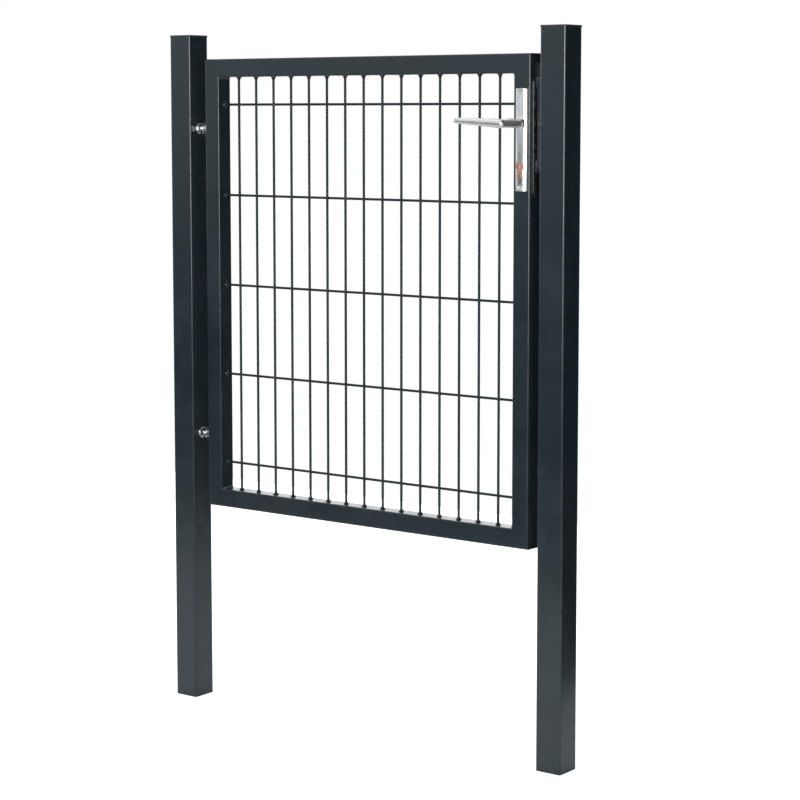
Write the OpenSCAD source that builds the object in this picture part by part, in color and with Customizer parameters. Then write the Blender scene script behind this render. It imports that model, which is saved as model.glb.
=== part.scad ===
// Mesh garden gate: a leaf of welded mesh in a square-tube frame, hung on two
// eyebolts between square posts and shut by a lever lock on its free side.
//
// X runs along the gate from the hinge post to the latch post, Y runs from the
// lever side to the rear, and Z is up. The origin lies on the foot of the hinge
// post, in the middle of the wall that faces the leaf. Sizes are millimetres.

/* [Posts] */

// Side of the square post tube
post_side = 60; // [50:1:100]
// Wall of the post tube
post_wall = 2; // [1.5:0.5:5]
// Outside corner radius of the post tube
post_corner = 4; // [2.5:0.5:6]
// Length of post below the leaf, most of it set in the ground
post_foot = 450; // [60:10:900]
// Height of post above the leaf
post_head = 50; // [5:1:200]
// Thickness of the flat top of a post cap
cap_thickness = 4; // [2:0.5:8]
// How far a post cap stands past the tube on each side
cap_overhang = 1; // [0:0.5:4]
// Depth of the cap's skirt inside the tube
cap_skirt = 14; // [6:1:40]
// Wall of the cap's skirt
cap_skirt_wall = 2; // [1:0.5:4]

/* [Leaf frame] */

// Overall width of the leaf
leaf_width = 870; // [700:10:1200]
// Overall height of the leaf
leaf_height = 1000; // [800:10:2000]
// Side of the square frame tube
tube_side = 40; // [34:1:50]
// Wall of the frame tube
tube_wall = 1.5; // [1:0.5:4]
// Outside corner radius of the frame tube
tube_corner = 3; // [2:0.5:5]
// Gap between the hinge post and the leaf
hinge_gap = 36; // [35:1:60]
// Gap between the leaf and the latch post
lock_gap = 29; // [22:1:50]

/* [Mesh] */

// Thickness of the upright mesh bars
bar_thickness = 5; // [4:0.5:8]
// Spacing of the upright mesh bars
bar_pitch = 50; // [25:1:120]
// Number of upright mesh bars
bar_count = 15; // [3:1:15]
// Thickness of the level mesh wires
wire_thickness = 5; // [4:0.5:8]
// Spacing of the level mesh wires
wire_pitch = 200; // [80:5:210]
// Number of level mesh wires
wire_count = 5; // [2:1:5]
// Depth to which bars and wires are pressed into each other by the weld
weld_bite = 0.6; // [0.2:0.1:1.5]
// Height of the weld fillet round each bar and wire end
weld_height = 7; // [1:0.5:10]
// Width of that weld fillet beyond the bar
weld_width = 3; // [1:0.5:4]

/* [Hinges] */

// Distance of the upper hinge below the top of the leaf
upper_hinge_drop = 153; // [60:1:350]
// Distance of the lower hinge above the bottom of the leaf
lower_hinge_rise = 160; // [60:5:350]
// Diameter of the eyebolt's shank
eyebolt_shank = 12; // [8:1:12]
// Outside diameter of the eye
eye_outside = 20; // [17:1:22]
// Height of the eye, a little more than the shank
eye_height = 13; // [12.5:0.5:18]
// Diameter of the hinge pin
pin_thickness = 10; // [6:1:12]
// Radial running clearance of the pin in the eye
pin_clearance = 0.05; // [0.02:0.01:0.1]
// Gap between the eye and the leaf's hinge stile
eye_gap = 0.7; // [0.5:0.1:3]
// Gap between the eye and each lug
lug_gap = 0.3; // [0.3:0.1:2]
// Thickness of a hinge lug
lug_thickness = 5; // [3:0.5:10]
// Radius of a hinge lug's round end
lug_radius = 9; // [8.5:0.5:10.5]
// Width across flats of the eyebolt nuts
bolt_nut_flats = 19; // [17:1:19]
// Height of the eyebolt nuts
bolt_nut_height = 10; // [6:1:12]
// Diameter of the eyebolt washers
washer_diameter = 24; // [20:1:30]
// Thickness of the eyebolt washers
washer_thickness = 2.5; // [1:0.5:4]
// Length of thread past the outer nut
bolt_tail = 5; // [2:1:20]
// Clearance of the eyebolt in the post's holes, on the radius
bolt_hole_clearance = 0.25; // [0.1:0.05:1]
// Clearance of a shank in its nuts and washers, on the radius
thread_clearance = 0.05; // [0.02:0.01:0.2]
// Width across flats of the hinge pin's head and nut
pin_nut_flats = 16; // [14:1:17]
// Height of the hinge pin's head
pin_head_height = 4; // [3:0.5:8]
// Height of the hinge pin's nut
pin_nut_height = 6; // [4:0.5:10]
// Length of pin below its nut
pin_tail = 1.5; // [0.5:0.5:5]

/* [Lock plates] */

// Distance of the lever's axis below the top of the leaf
lever_drop = 139; // [120:1:400]
// Distance of the lever's axis from the free edge of the leaf
backset = 19; // [17:1:20]
// Width of a lock plate
plate_width = 27; // [24:1:32]
// Thickness of a lock plate along its middle
plate_thickness = 7; // [5:0.5:10]
// Width of the flat along the middle of a lock plate
plate_flat = 14; // [13:0.5:20]
// Thickness of a lock plate at its long edges
plate_edge = 3; // [1:0.5:5]
// Outside diameter of the collar round the lever's neck
collar_diameter = 22; // [20:0.5:24]
// Height of that collar
collar_height = 6; // [1:0.5:8]
// Distance of a plate screw from the end of the plate
plate_screw_inset = 8.5; // [8:0.5:16]
// Distance of a plate screw's axis past the end of the lock case
plate_screw_gap = 9; // [6:0.5:14]
// Diameter of a plate screw
plate_screw = 5; // [4:0.5:5]
// Diameter of a plate screw's countersunk head
plate_screw_head = 9; // [8:0.5:10]
// Length of a plate screw's countersunk cone
plate_screw_cone = 2.5; // [2:0.5:3.5]

/* [Lever] */

// Diameter of the lever's neck
lever_neck = 17; // [14:0.5:17]
// Diameter of the lever's grip at its square-cut heel
lever_grip = 18; // [17.5:0.5:20]
// Diameter of the lever's grip at its tip
lever_tip = 12; // [8:0.5:14]
// Distance of the grip's axis from the leaf's face
lever_reach = 74; // [50:1:90]
// Length of the grip from the neck's axis to its tip
lever_length = 114; // [90:1:150]
// Rise of the grip's axis from the neck to the tip
lever_rise = 6; // [0:0.5:12]
// How far the heel of the grip stands out past the neck
lever_heel = 0.5; // [0.5:0.5:4]
// Chamfer round the heel of the grip
lever_heel_chamfer = 1; // [0.5:0.5:2]
// Radial running clearance of the neck in the plate
neck_clearance = 0.08; // [0.02:0.01:0.1]
// Side of the square spindle
spindle_side = 8; // [6:1:9]
// Depth of the spindle's socket in the neck
spindle_socket = 22; // [10:1:30]
// Clearance round the square spindle in its sockets
socket_clearance = 0.05; // [0.02:0.01:0.2]
// Clearance round the spindle's corners in the lock case
follower_clearance = 0.4; // [0.3:0.05:1]

/* [Lock] */

// Distance of the key cylinder's axis below the lever's axis
cylinder_drop = 85; // [72:1:92]
// Diameter of the round part of the key cylinder
cylinder_round = 17; // [17:0.5:18]
// Width of the narrow part of the key cylinder
cylinder_neck = 10; // [9:0.5:10]
// Overall height of the key cylinder
cylinder_height = 33; // [30:1:34]
// How far the key cylinder stands out of the lock plate
cylinder_proud = 2.5; // [1:0.5:4]
// Clearance round the key cylinder
cylinder_clearance = 0.3; // [0.1:0.1:0.6]
// Diameter of the plug that the key turns
plug_diameter = 13; // [12:0.5:14]
// Clearance round the plug
plug_clearance = 0.05; // [0.02:0.01:0.2]
// Width of the keyway
keyway_width = 2.2; // [1.5:0.1:3]
// Height of the keyway
keyway_height = 9; // [6:0.5:10]
// Depth of the keyway
keyway_depth = 12; // [4:1:20]
// Width of the lock's forend
forend_width = 22; // [20:1:24]
// Length of the forend above the lock case
forend_upper_ear = 40; // [15:1:50]
// Length of the forend below the lock case
forend_lower_ear = 30; // [15:1:50]
// Thickness of the forend
forend_thickness = 3; // [2:0.5:4]
// Thickness of the lock case
case_thickness = 16; // [14:1:20]
// Depth of the lock case in the tube
case_depth = 32; // [30:0.5:32]
// Height of the lock case above the lever's axis
case_above = 52; // [40:1:70]
// Height of the lock case below the key cylinder's axis
case_below = 33; // [28:1:50]
// Length of each bolt inside the lock case
bolt_inside = 11; // [6:1:12]
// Height of the latch nose
latch_height = 20; // [16:1:24]
// Thickness of the latch nose
latch_thickness = 12; // [10:1:13]
// Height of the latch's centre above the lever's axis
latch_above = 3; // [0:1:26]
// Height of the dead bolt
dead_bolt_height = 22; // [16:1:28]
// Thickness of the dead bolt
dead_bolt_thickness = 12; // [8:1:13]
// Distance of the dead bolt's centre below the lever's axis
dead_bolt_drop = 28; // [26:1:34]

/* [Keeper] */

// Gap between the keeper and the lock's forend
keeper_gap = 5; // [5:0.5:8]
// Thickness of the keeper's folded sheet
keeper_sheet = 3; // [2:0.5:4]
// Half-width of the keeper's box
keeper_half_width = 13; // [11:0.5:15]
// Room in the mouth above the latch
mouth_above = 22; // [2:1:30]
// Room in the mouth below the dead bolt
mouth_below = 2; // [1:1:20]
// Height of the box above the mouth
keeper_upper_strip = 57; // [30:1:70]
// Height of the box below the mouth
keeper_lower_strip = 57; // [34:1:70]
// How far both ends of the box stand out past its middle
keeper_lip = 5; // [2:0.5:6]
// Height of the lip at the box's upper end
keeper_upper_lip = 22; // [8:1:28]
// Height of the lip at the box's lower end
keeper_lower_lip = 21; // [8:1:24]
// Length of the keeper's back plate below the box
keeper_tail = 50; // [35:1:100]
// How far the stop flange reaches behind the leaf
stop_overlap = 14; // [8:1:30]
// Height of the stop flange
stop_height = 45; // [20:1:46]
// Gap between the rear lock plate and the stop flange above it
stop_clearance = 6; // [5:0.5:8]
// Thickness of the rubber buffer
buffer_thickness = 4; // [3:0.5:8]
// Gap between the closed leaf and the rubber buffer
buffer_gap = 0.4; // [0.3:0.1:2]
// Margin of the stop flange round the rubber buffer
buffer_margin = 2; // [1:0.5:4]
// Distance of a keeper screw from the ends of the plate below the box
keeper_screw_inset = 11; // [8:1:14]
// Diameter of a keeper screw's head
keeper_screw_head = 10; // [8:0.5:12]
// Height of a keeper screw's head
keeper_screw_head_height = 3; // [2:0.5:5]
// Diameter of a keeper screw's shank
keeper_screw = 5; // [4:0.5:6]
// Length of a keeper screw's shank
keeper_screw_length = 12; // [6:1:30]

/* [Hidden] */

$fn = 48;
e = 1; // overrun of cutting tools

post_height = post_foot + leaf_height + post_head;
hinge_post_face = post_wall / 2;
hinge_post_x = hinge_post_face - post_side / 2;
leaf_x0 = hinge_post_face + hinge_gap;
leaf_x1 = leaf_x0 + leaf_width;
leaf_z0 = post_foot;
leaf_z1 = post_foot + leaf_height;
latch_post_face = leaf_x1 + lock_gap;
latch_post_x = latch_post_face + post_side / 2;

upper_hinge_z = leaf_z1 - upper_hinge_drop;
lower_hinge_z = leaf_z0 + lower_hinge_rise;
pivot_x = leaf_x0 - eye_gap - eye_outside / 2;
eye_half = eye_height / 2;
bolt_bore = eyebolt_shank / 2 + thread_clearance;
pin_bore = pin_thickness / 2 + thread_clearance;
lug_base = eye_half + lug_gap;
lug_top = lug_base + lug_thickness;

bar_y = -(bar_thickness - weld_bite) / 2;
wire_y = (wire_thickness - weld_bite) / 2;
mid_x = (leaf_x0 + leaf_x1) / 2;
mid_z = (leaf_z0 + leaf_z1) / 2;

leaf_face = tube_side / 2;
plate_face = leaf_face + plate_thickness;
lever_x = leaf_x1 - backset;
lever_z = leaf_z1 - lever_drop;
cylinder_z = lever_z - cylinder_drop;
case_z0 = cylinder_z - case_below;
case_z1 = lever_z + case_above;
case_height = case_z1 - case_z0;
plate_screw_z = [case_z0 - plate_screw_gap, case_z1 + plate_screw_gap];
plate_z0 = plate_screw_z[0] - plate_screw_inset;
plate_z1 = plate_screw_z[1] + plate_screw_inset;
plate_height = plate_z1 - plate_z0;
forend_z0 = case_z0 - forend_lower_ear;
forend_z1 = case_z1 + forend_upper_ear;
case_x0 = leaf_x1 - case_depth;
latch_z = lever_z + latch_above;
dead_bolt_z = lever_z - dead_bolt_drop;

keeper_reach = lock_gap - forend_thickness - keeper_gap;
keeper_face = latch_post_face - keeper_reach;
mouth_z0 = dead_bolt_z - dead_bolt_height / 2 - mouth_below;
mouth_z1 = latch_z + latch_height / 2 + mouth_above;
keeper_z0 = mouth_z0 - keeper_lower_strip;
keeper_z1 = mouth_z1 + keeper_upper_strip;
stop_face = leaf_face + buffer_gap + buffer_thickness;
stop_x0 = leaf_x1 - stop_overlap;
stop_z0 = plate_z1 + stop_clearance;
stop_z1 = stop_z0 + stop_height;
keeper_screw_z = [keeper_z0 - keeper_tail + keeper_screw_inset, keeper_z0 - keeper_screw_inset];

POWDER_COAT = [0.21, 0.24, 0.26];
ZINC = [0.72, 0.73, 0.74];
SATIN = [0.76, 0.76, 0.77];
BRASS = [0.80, 0.58, 0.42];
BLACK = [0.06, 0.06, 0.07];

// ---- Shared shapes ----------------------------------------------------------

// A square with rounded corners, drawn about its centre.
module rounded_square(side, radius) {
    square([side - 2 * radius, side], center = true);
    square([side, side - 2 * radius], center = true);
    for (sx = [-1, 1], sy = [-1, 1])
        translate([sx * (side / 2 - radius), sy * (side / 2 - radius)])
            circle(r = radius);
}

// The section of a square tube.
module tube_section(side, wall, corner) {
    difference() {
        rounded_square(side, corner);
        rounded_square(side - 2 * wall, max(corner - wall, 0.5));
    }
}

// A rod along Z with eight flats, two of them square to X and two to Y.
module eight_sided_rod(thickness, length) {
    rotate([0, 0, 22.5])
        cylinder(h = length, d = thickness / cos(22.5), center = true, $fn = 8);
}

// A hexagon prism along Z with two of its flats square to Y.
module hexagon(flats, height) {
    cylinder(h = height, d = flats / cos(30), $fn = 6);
}

// A round rod along Y, from y0 to y1.
module rod_y(radius, y0, y1) {
    translate([0, y1, 0])
        rotate([90, 0, 0])
            cylinder(h = y1 - y0, r = radius);
}

// ---- Posts ------------------------------------------------------------------

module post_tube(x) {
    color(POWDER_COAT)
        translate([x, 0, 0])
            linear_extrude(post_height)
                tube_section(post_side, post_wall, post_corner);
}

// The hinge post is drilled through for both eyebolts.
module hinge_post() {
    color(POWDER_COAT)
        difference() {
            post_tube(hinge_post_x);
            for (z = [upper_hinge_z, lower_hinge_z])
                translate([hinge_post_x - post_side, 0, z])
                    rotate([0, 90, 0])
                        cylinder(h = 2 * post_side, r = eyebolt_shank / 2 + bolt_hole_clearance);
        }
}

// The latch post is drilled for the keeper's screws.
module latch_post() {
    color(POWDER_COAT)
        difference() {
            post_tube(latch_post_x);
            for (z = keeper_screw_z)
                translate([latch_post_face - e, 0, z])
                    rotate([0, 90, 0])
                        cylinder(h = post_wall + 2 * e, r = keeper_screw / 2 + thread_clearance);
        }
}

// A flat plastic cap with a hollow skirt that grips inside the tube.
module post_cap(x) {
    skirt_side = post_side - 2 * post_wall;
    skirt_corner = max(post_corner - post_wall, 0.5);
    color(BLACK)
        translate([x, 0, post_height]) {
            linear_extrude(cap_thickness)
                rounded_square(post_side + 2 * cap_overhang, post_corner + cap_overhang);
            translate([0, 0, -cap_skirt])
                linear_extrude(cap_skirt + e / 2)
                    tube_section(skirt_side, cap_skirt_wall, skirt_corner);
        }
}

module hinge_post_cap() {
    post_cap(hinge_post_x);
}

module latch_post_cap() {
    post_cap(latch_post_x);
}

// ---- Hinges -----------------------------------------------------------------

// A threaded shank through both walls of the post, with a vertical eye.
module eyebolt(z) {
    tail_x = hinge_post_face - post_side - washer_thickness - bolt_nut_height - bolt_tail;
    color(ZINC)
        translate([0, 0, z])
            difference() {
                union() {
                    translate([tail_x, 0, 0])
                        rotate([0, 90, 0])
                            cylinder(h = pivot_x - tail_x, d = eyebolt_shank);
                    translate([pivot_x, 0, 0])
                        cylinder(h = eye_height, d = eye_outside, center = true);
                }
                translate([pivot_x, 0, 0])
                    cylinder(h = 2 * eye_height, r = pin_thickness / 2 + pin_clearance, center = true);
            }
}

// Places children on both walls of the hinge post, pointing out of the tube.
module on_both_post_walls(z) {
    translate([hinge_post_face, 0, z])
        rotate([0, 90, 0])
            children();
    translate([hinge_post_face - post_side, 0, z])
        rotate([0, -90, 0])
            children();
}

module bolt_washers(z) {
    color(ZINC)
        on_both_post_walls(z)
            difference() {
                cylinder(h = washer_thickness, d = washer_diameter);
                translate([0, 0, -e])
                    cylinder(h = washer_thickness + 2 * e, r = bolt_bore);
            }
}

module bolt_nuts(z) {
    color(ZINC)
        on_both_post_walls(z)
            translate([0, 0, washer_thickness])
                difference() {
                    hexagon(bolt_nut_flats, bolt_nut_height);
                    translate([0, 0, -e])
                        cylinder(h = bolt_nut_height + 2 * e, r = bolt_bore);
                }
}

// Two lugs welded to the hinge stile, one above the eye and one below it.
module hinge_lugs(z) {
    color(POWDER_COAT)
        for (side = [-1, 1])
            translate([0, 0, z + side * (lug_base + lug_top) / 2])
                difference() {
                    union() {
                        translate([pivot_x, 0, 0])
                            cylinder(h = lug_thickness, r = lug_radius, center = true);
                        translate([(pivot_x + leaf_x0) / 2, 0, 0])
                            cube([leaf_x0 - pivot_x, 2 * lug_radius, lug_thickness], center = true);
                    }
                    translate([pivot_x, 0, 0])
                        cylinder(h = 2 * lug_thickness, r = pin_thickness / 2 + pin_clearance, center = true);
                }
}

// The pin drops through lug, eye and lug, and ends below its nut.
module hinge_pin(z) {
    color(POWDER_COAT)
        translate([pivot_x, 0, z]) {
            translate([0, 0, -lug_top - pin_nut_height - pin_tail])
                cylinder(h = 2 * lug_top + pin_nut_height + pin_tail + e, d = pin_thickness);
            translate([0, 0, lug_top])
                hexagon(pin_nut_flats, pin_head_height);
        }
}

module pin_nut(z) {
    color(POWDER_COAT)
        translate([pivot_x, 0, z - lug_top - pin_nut_height])
            difference() {
                hexagon(pin_nut_flats, pin_nut_height);
                translate([0, 0, -e])
                    cylinder(h = pin_nut_height + 2 * e, r = pin_bore);
            }
}

module upper_eyebolt() {
    eyebolt(upper_hinge_z);
}

module lower_eyebolt() {
    eyebolt(lower_hinge_z);
}

module upper_bolt_washers() {
    bolt_washers(upper_hinge_z);
}

module lower_bolt_washers() {
    bolt_washers(lower_hinge_z);
}

module upper_bolt_nuts() {
    bolt_nuts(upper_hinge_z);
}

module lower_bolt_nuts() {
    bolt_nuts(lower_hinge_z);
}

module upper_hinge_lugs() {
    hinge_lugs(upper_hinge_z);
}

module lower_hinge_lugs() {
    hinge_lugs(lower_hinge_z);
}

module upper_hinge_pin() {
    hinge_pin(upper_hinge_z);
}

module lower_hinge_pin() {
    hinge_pin(lower_hinge_z);
}

module upper_pin_nut() {
    pin_nut(upper_hinge_z);
}

module lower_pin_nut() {
    pin_nut(lower_hinge_z);
}

// ---- Leaf frame -------------------------------------------------------------

// The wedge-ended outline that mitres one side of the frame at both corners.
// It lies from (0, 0) to (length, 0) and narrows by the tube's side.
module mitre_outline(length) {
    rotate([90, 0, 0])
        linear_extrude(2 * tube_side, center = true)
            polygon([[0, 0], [length, 0], [length - tube_side, tube_side], [tube_side, tube_side]]);
}

// A mitred tube along X whose outer face lies on Z = 0 and inner face above it.
module mitred_tube(length) {
    intersection() {
        translate([0, 0, tube_side / 2])
            rotate([90, 0, 90])
                linear_extrude(length)
                    tube_section(tube_side, tube_wall, tube_corner);
        mitre_outline(length);
    }
}

module bottom_rail() {
    color(POWDER_COAT)
        translate([leaf_x0, 0, leaf_z0])
            mitred_tube(leaf_width);
}

module top_rail() {
    color(POWDER_COAT)
        translate([leaf_x1, 0, leaf_z1])
            rotate([0, 180, 0])
                mitred_tube(leaf_width);
}

module hinge_stile() {
    color(POWDER_COAT)
        translate([leaf_x0, 0, leaf_z1])
            rotate([0, 90, 0])
                mitred_tube(leaf_height);
}

// The lock stile is cut out for the lock case, the spindle, the key cylinder
// and the plate screws.
module lock_stile() {
    color(POWDER_COAT)
        difference() {
            translate([leaf_x1, 0, leaf_z0])
                rotate([0, -90, 0])
                    mitred_tube(leaf_height);
            translate([leaf_x1 - tube_wall - e, -case_thickness / 2 - 0.5, case_z0 - 0.5])
                cube([tube_wall + 2 * e, case_thickness + 1, case_height + 1]);
            translate([lever_x, 0, lever_z])
                rod_y(lever_neck / 2 + 1, -tube_side, tube_side);
            translate([lever_x, 0, cylinder_z])
                key_cylinder_shape(cylinder_clearance + 0.5, tube_side);
            for (z = plate_screw_z)
                translate([lever_x, 0, z])
                    rod_y(plate_screw / 2 + 0.3, -tube_side, tube_side);
        }
}

// ---- Mesh -------------------------------------------------------------------

// One bar or wire along Z with a weld fillet at each end. The fillet ends just
// outside the rod's corners.
module welded_rod(thickness, length) {
    toe = thickness / cos(22.5) + 0.4;
    eight_sided_rod(thickness, length);
    for (end = [0, 1])
        mirror([0, 0, end])
            translate([0, 0, -length / 2])
                cylinder(h = weld_height, d1 = thickness + 2 * weld_width, d2 = toe);
}

// Upright bars in front, level wires behind, welded where they cross.
module mesh_panel() {
    color(POWDER_COAT)
        union() {
            for (i = [0 : bar_count - 1])
                translate([mid_x + (i - (bar_count - 1) / 2) * bar_pitch, bar_y, mid_z])
                    welded_rod(bar_thickness, leaf_height - 2 * tube_side);
            for (i = [0 : wire_count - 1])
                translate([mid_x, wire_y, mid_z + (i - (wire_count - 1) / 2) * wire_pitch])
                    rotate([0, 90, 0])
                        welded_rod(wire_thickness, leaf_width - 2 * tube_side);
        }
}

// ---- Lock -------------------------------------------------------------------

// The round-and-tab section of the key cylinder, as a bar along Y through both
// sides of the leaf. The margin grows it into a clearance hole.
module key_cylinder_shape(margin, half_length) {
    tab = cylinder_neck / 2 + margin;
    tab_z = cylinder_round / 2 - cylinder_height + cylinder_neck / 2;
    rod_y(cylinder_round / 2 + margin, -half_length, half_length);
    translate([0, 0, tab_z])
        rod_y(tab, -half_length, half_length);
    translate([-tab, -half_length, tab_z])
        cube([2 * tab, 2 * half_length, -tab_z]);
}

// A bolt that reaches from inside the lock case to the forend's outer face. The
// overrun lengthens it into a cutting tool.
module bolt_block(z, thickness, height, overrun = 0) {
    translate([leaf_x1 - bolt_inside, -thickness / 2, z - height / 2])
        cube([bolt_inside + forend_thickness + overrun, thickness, height]);
}

module lock_case() {
    color(ZINC)
        difference() {
            translate([case_x0, -case_thickness / 2, case_z0])
                cube([case_depth, case_thickness, case_height]);
            translate([lever_x, 0, lever_z])
                rod_y(spindle_side / sqrt(2) + follower_clearance, -case_thickness, case_thickness);
            translate([lever_x, 0, cylinder_z])
                key_cylinder_shape(cylinder_clearance, case_thickness);
            bolt_block(latch_z, latch_thickness, latch_height);
            bolt_block(dead_bolt_z, dead_bolt_thickness, dead_bolt_height);
        }
}

// The forend has a round-ended outline and a mouth for each bolt.
module lock_forend() {
    color(SATIN)
        difference() {
            translate([leaf_x1, 0, 0])
                rotate([90, 0, 90])
                    linear_extrude(forend_thickness) {
                        translate([-forend_width / 2, forend_z0 + forend_width / 2])
                            square([forend_width, forend_z1 - forend_z0 - forend_width]);
                        for (z = [forend_z0 + forend_width / 2, forend_z1 - forend_width / 2])
                            translate([0, z])
                                circle(d = forend_width);
                    }
            bolt_block(latch_z, latch_thickness, latch_height, e);
            bolt_block(dead_bolt_z, dead_bolt_thickness, dead_bolt_height, e);
        }
}

// Both bolts are drawn back, level with the forend.
module latch_bolt() {
    color(SATIN)
        bolt_block(latch_z, latch_thickness, latch_height);
}

module dead_bolt() {
    color(SATIN)
        bolt_block(dead_bolt_z, dead_bolt_thickness, dead_bolt_height);
}

module lock_cylinder() {
    color(BRASS)
        translate([lever_x, 0, cylinder_z])
            difference() {
                key_cylinder_shape(0, plate_face + cylinder_proud);
                rod_y(plug_diameter / 2 + plug_clearance, -2 * plate_face, 2 * plate_face);
            }
}

module lock_plug() {
    half = plate_face + cylinder_proud;
    color(BRASS)
        translate([lever_x, 0, cylinder_z])
            difference() {
                rod_y(plug_diameter / 2, -half, half);
                for (side = [-1, 1])
                    translate([0, side * half, 0])
                        cube([keyway_width, 2 * keyway_depth, keyway_height], center = true);
            }
}

// ---- Lock plates ------------------------------------------------------------

// The front plate, with bevelled long sides, a collar round the neck, a hole
// for the key cylinder and countersunk screw holes.
module plate_shape() {
    color(SATIN)
        difference() {
            union() {
                translate([lever_x, 0, plate_z0])
                    linear_extrude(plate_height)
                        polygon([
                            [-plate_width / 2, -leaf_face],
                            [plate_width / 2, -leaf_face],
                            [plate_width / 2, -leaf_face - plate_edge],
                            [plate_flat / 2, -plate_face],
                            [-plate_flat / 2, -plate_face],
                            [-plate_width / 2, -leaf_face - plate_edge]
                        ]);
                translate([lever_x, 0, lever_z])
                    rod_y(collar_diameter / 2, -plate_face - collar_height, -leaf_face - plate_edge);
            }
            translate([lever_x, 0, lever_z])
                rod_y(lever_neck / 2 + neck_clearance, -2 * plate_face, 0);
            translate([lever_x, 0, cylinder_z])
                key_cylinder_shape(cylinder_clearance, 2 * plate_face);
            for (z = plate_screw_z)
                translate([lever_x, -plate_face, z])
                    rotate([-90, 0, 0])
                        screw_shape(0.1);
        }
}

// A countersunk screw whose head lies on Z = 0, pointing along Z. The margin
// grows it into its hole.
module screw_shape(margin) {
    translate([0, 0, -margin])
        cylinder(h = plate_screw_cone + margin, d1 = plate_screw_head + 2 * margin, d2 = plate_screw);
    cylinder(h = plate_face, d = plate_screw + 2 * margin);
}

module front_plate() {
    plate_shape();
}

module rear_plate() {
    mirror([0, 1, 0])
        plate_shape();
}

// Screws from both sides that meet inside the stile.
module plate_screws() {
    color(SATIN)
        for (side = [0, 1], z = plate_screw_z)
            mirror([0, side, 0])
                translate([lever_x, -plate_face, z])
                    rotate([-90, 0, 0])
                        difference() {
                            screw_shape(0);
                            translate([0, 0, -e])
                                cylinder(h = e + 2, d = 4, $fn = 6);
                        }
}

// ---- Lever handle -----------------------------------------------------------

// A neck that comes straight out of the plate and runs into the side of a
// tapering grip, which points back across the leaf.
module lever_shape() {
    start_y = -leaf_face - 0.5;
    grip_y = -leaf_face - lever_reach;
    socket_side = spindle_side + 2 * socket_clearance;
    color(SATIN)
        difference() {
            union() {
                rod_y(lever_neck / 2, grip_y, start_y);
                translate([0, grip_y, 0])
                    grip_shape();
            }
            translate([0, start_y, 0])
                cube([socket_side, 2 * spindle_socket, socket_side], center = true);
        }
}

// The grip along -X: a square-cut heel just past the neck, a taper and a
// softened tip.
module grip_shape() {
    root = lever_grip / 2;
    tip = lever_tip / 2;
    heel = lever_neck / 2 + lever_heel;
    rotate([0, -90, 0])
        rotate_extrude()
            polygon([
                [0, -heel],
                [root - lever_heel_chamfer, -heel],
                [root, lever_heel_chamfer - heel],
                [root, root],
                [tip, lever_length - 0.5 * tip],
                [0.86 * tip, lever_length - 0.2 * tip],
                [0.55 * tip, lever_length],
                [0, lever_length]
            ]);
}

// Tips the handle about its axis so that the grip rises towards its tip.
module at_handle_rest() {
    translate([lever_x, 0, lever_z])
        rotate([0, asin(lever_rise / lever_length), 0])
            children();
}

module front_lever() {
    at_handle_rest()
        lever_shape();
}

module rear_lever() {
    mirror([0, 1, 0])
        front_lever();
}

// The square spindle joins both levers through the lock case.
module spindle() {
    half = leaf_face + 0.5 + spindle_socket - 1;
    color(ZINC)
        at_handle_rest()
            cube([spindle_side, 2 * half, spindle_side], center = true);
}

// ---- Keeper -----------------------------------------------------------------

// The side outline of the keeper's box, with a lip at both ends. X runs from the
// latch post's face towards the leaf and Y runs up.
module keeper_outline() {
    middle = keeper_reach - keeper_lip;
    polygon([
        [0, keeper_z0],
        [keeper_reach, keeper_z0],
        [keeper_reach, keeper_z0 + keeper_lower_lip],
        [middle, keeper_z0 + keeper_lower_lip + keeper_lip],
        [middle, keeper_z1 - keeper_upper_lip],
        [keeper_reach, keeper_z1 - keeper_upper_lip],
        [keeper_reach, keeper_z1],
        [0, keeper_z1]
    ]);
}

// A folded box on the latch post with one tall mouth for both bolts. A rear
// flange above the lock plate reaches behind the leaf as a stop.
module keeper() {
    half = keeper_half_width;
    tail_z0 = keeper_z0 - keeper_tail;
    inside = 2 * (half - keeper_sheet);
    room = keeper_reach - keeper_lip - 2 * keeper_sheet;
    color(POWDER_COAT)
        difference() {
            union() {
                // back plate on the post
                translate([latch_post_face - keeper_sheet, -half, tail_z0])
                    cube([keeper_sheet, half + stop_face + keeper_sheet, stop_z1 - tail_z0]);
                // box
                translate([latch_post_face, 0, 0])
                    rotate([90, 0, 180])
                        linear_extrude(2 * half, center = true)
                            keeper_outline();
                // stop flange behind the leaf
                translate([stop_x0, stop_face, stop_z0])
                    cube([latch_post_face - stop_x0, keeper_sheet, stop_height]);
            }
            // room behind the face
            translate([latch_post_face - keeper_sheet - room, -inside / 2, keeper_z0 + keeper_sheet])
                cube([room, inside, keeper_z1 - keeper_z0 - 2 * keeper_sheet]);
            // mouth for the latch and the dead bolt
            translate([keeper_face - e, -inside / 2, mouth_z0])
                cube([keeper_reach - keeper_sheet, inside, mouth_z1 - mouth_z0]);
            for (z = keeper_screw_z)
                translate([latch_post_face - 2 * keeper_sheet, 0, z])
                    rotate([0, 90, 0])
                        cylinder(h = 3 * keeper_sheet, r = keeper_screw / 2 + thread_clearance);
        }
}

// Two round-headed screws below the box.
module keeper_screws() {
    color(ZINC)
        for (z = keeper_screw_z)
            translate([latch_post_face - keeper_sheet, 0, z])
                rotate([0, 90, 0]) {
                    translate([0, 0, -keeper_screw_head_height])
                        cylinder(h = keeper_screw_head_height, d = keeper_screw_head);
                    cylinder(h = keeper_screw_length, d = keeper_screw);
                }
}

// The rubber buffer that the closed leaf meets.
module stop_buffer() {
    color(BLACK)
        translate([stop_x0 + buffer_margin, leaf_face + buffer_gap, stop_z0 + buffer_margin])
            cube([
                stop_overlap - 2 * buffer_margin,
                buffer_thickness,
                stop_height - 2 * buffer_margin
            ]);
}

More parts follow.
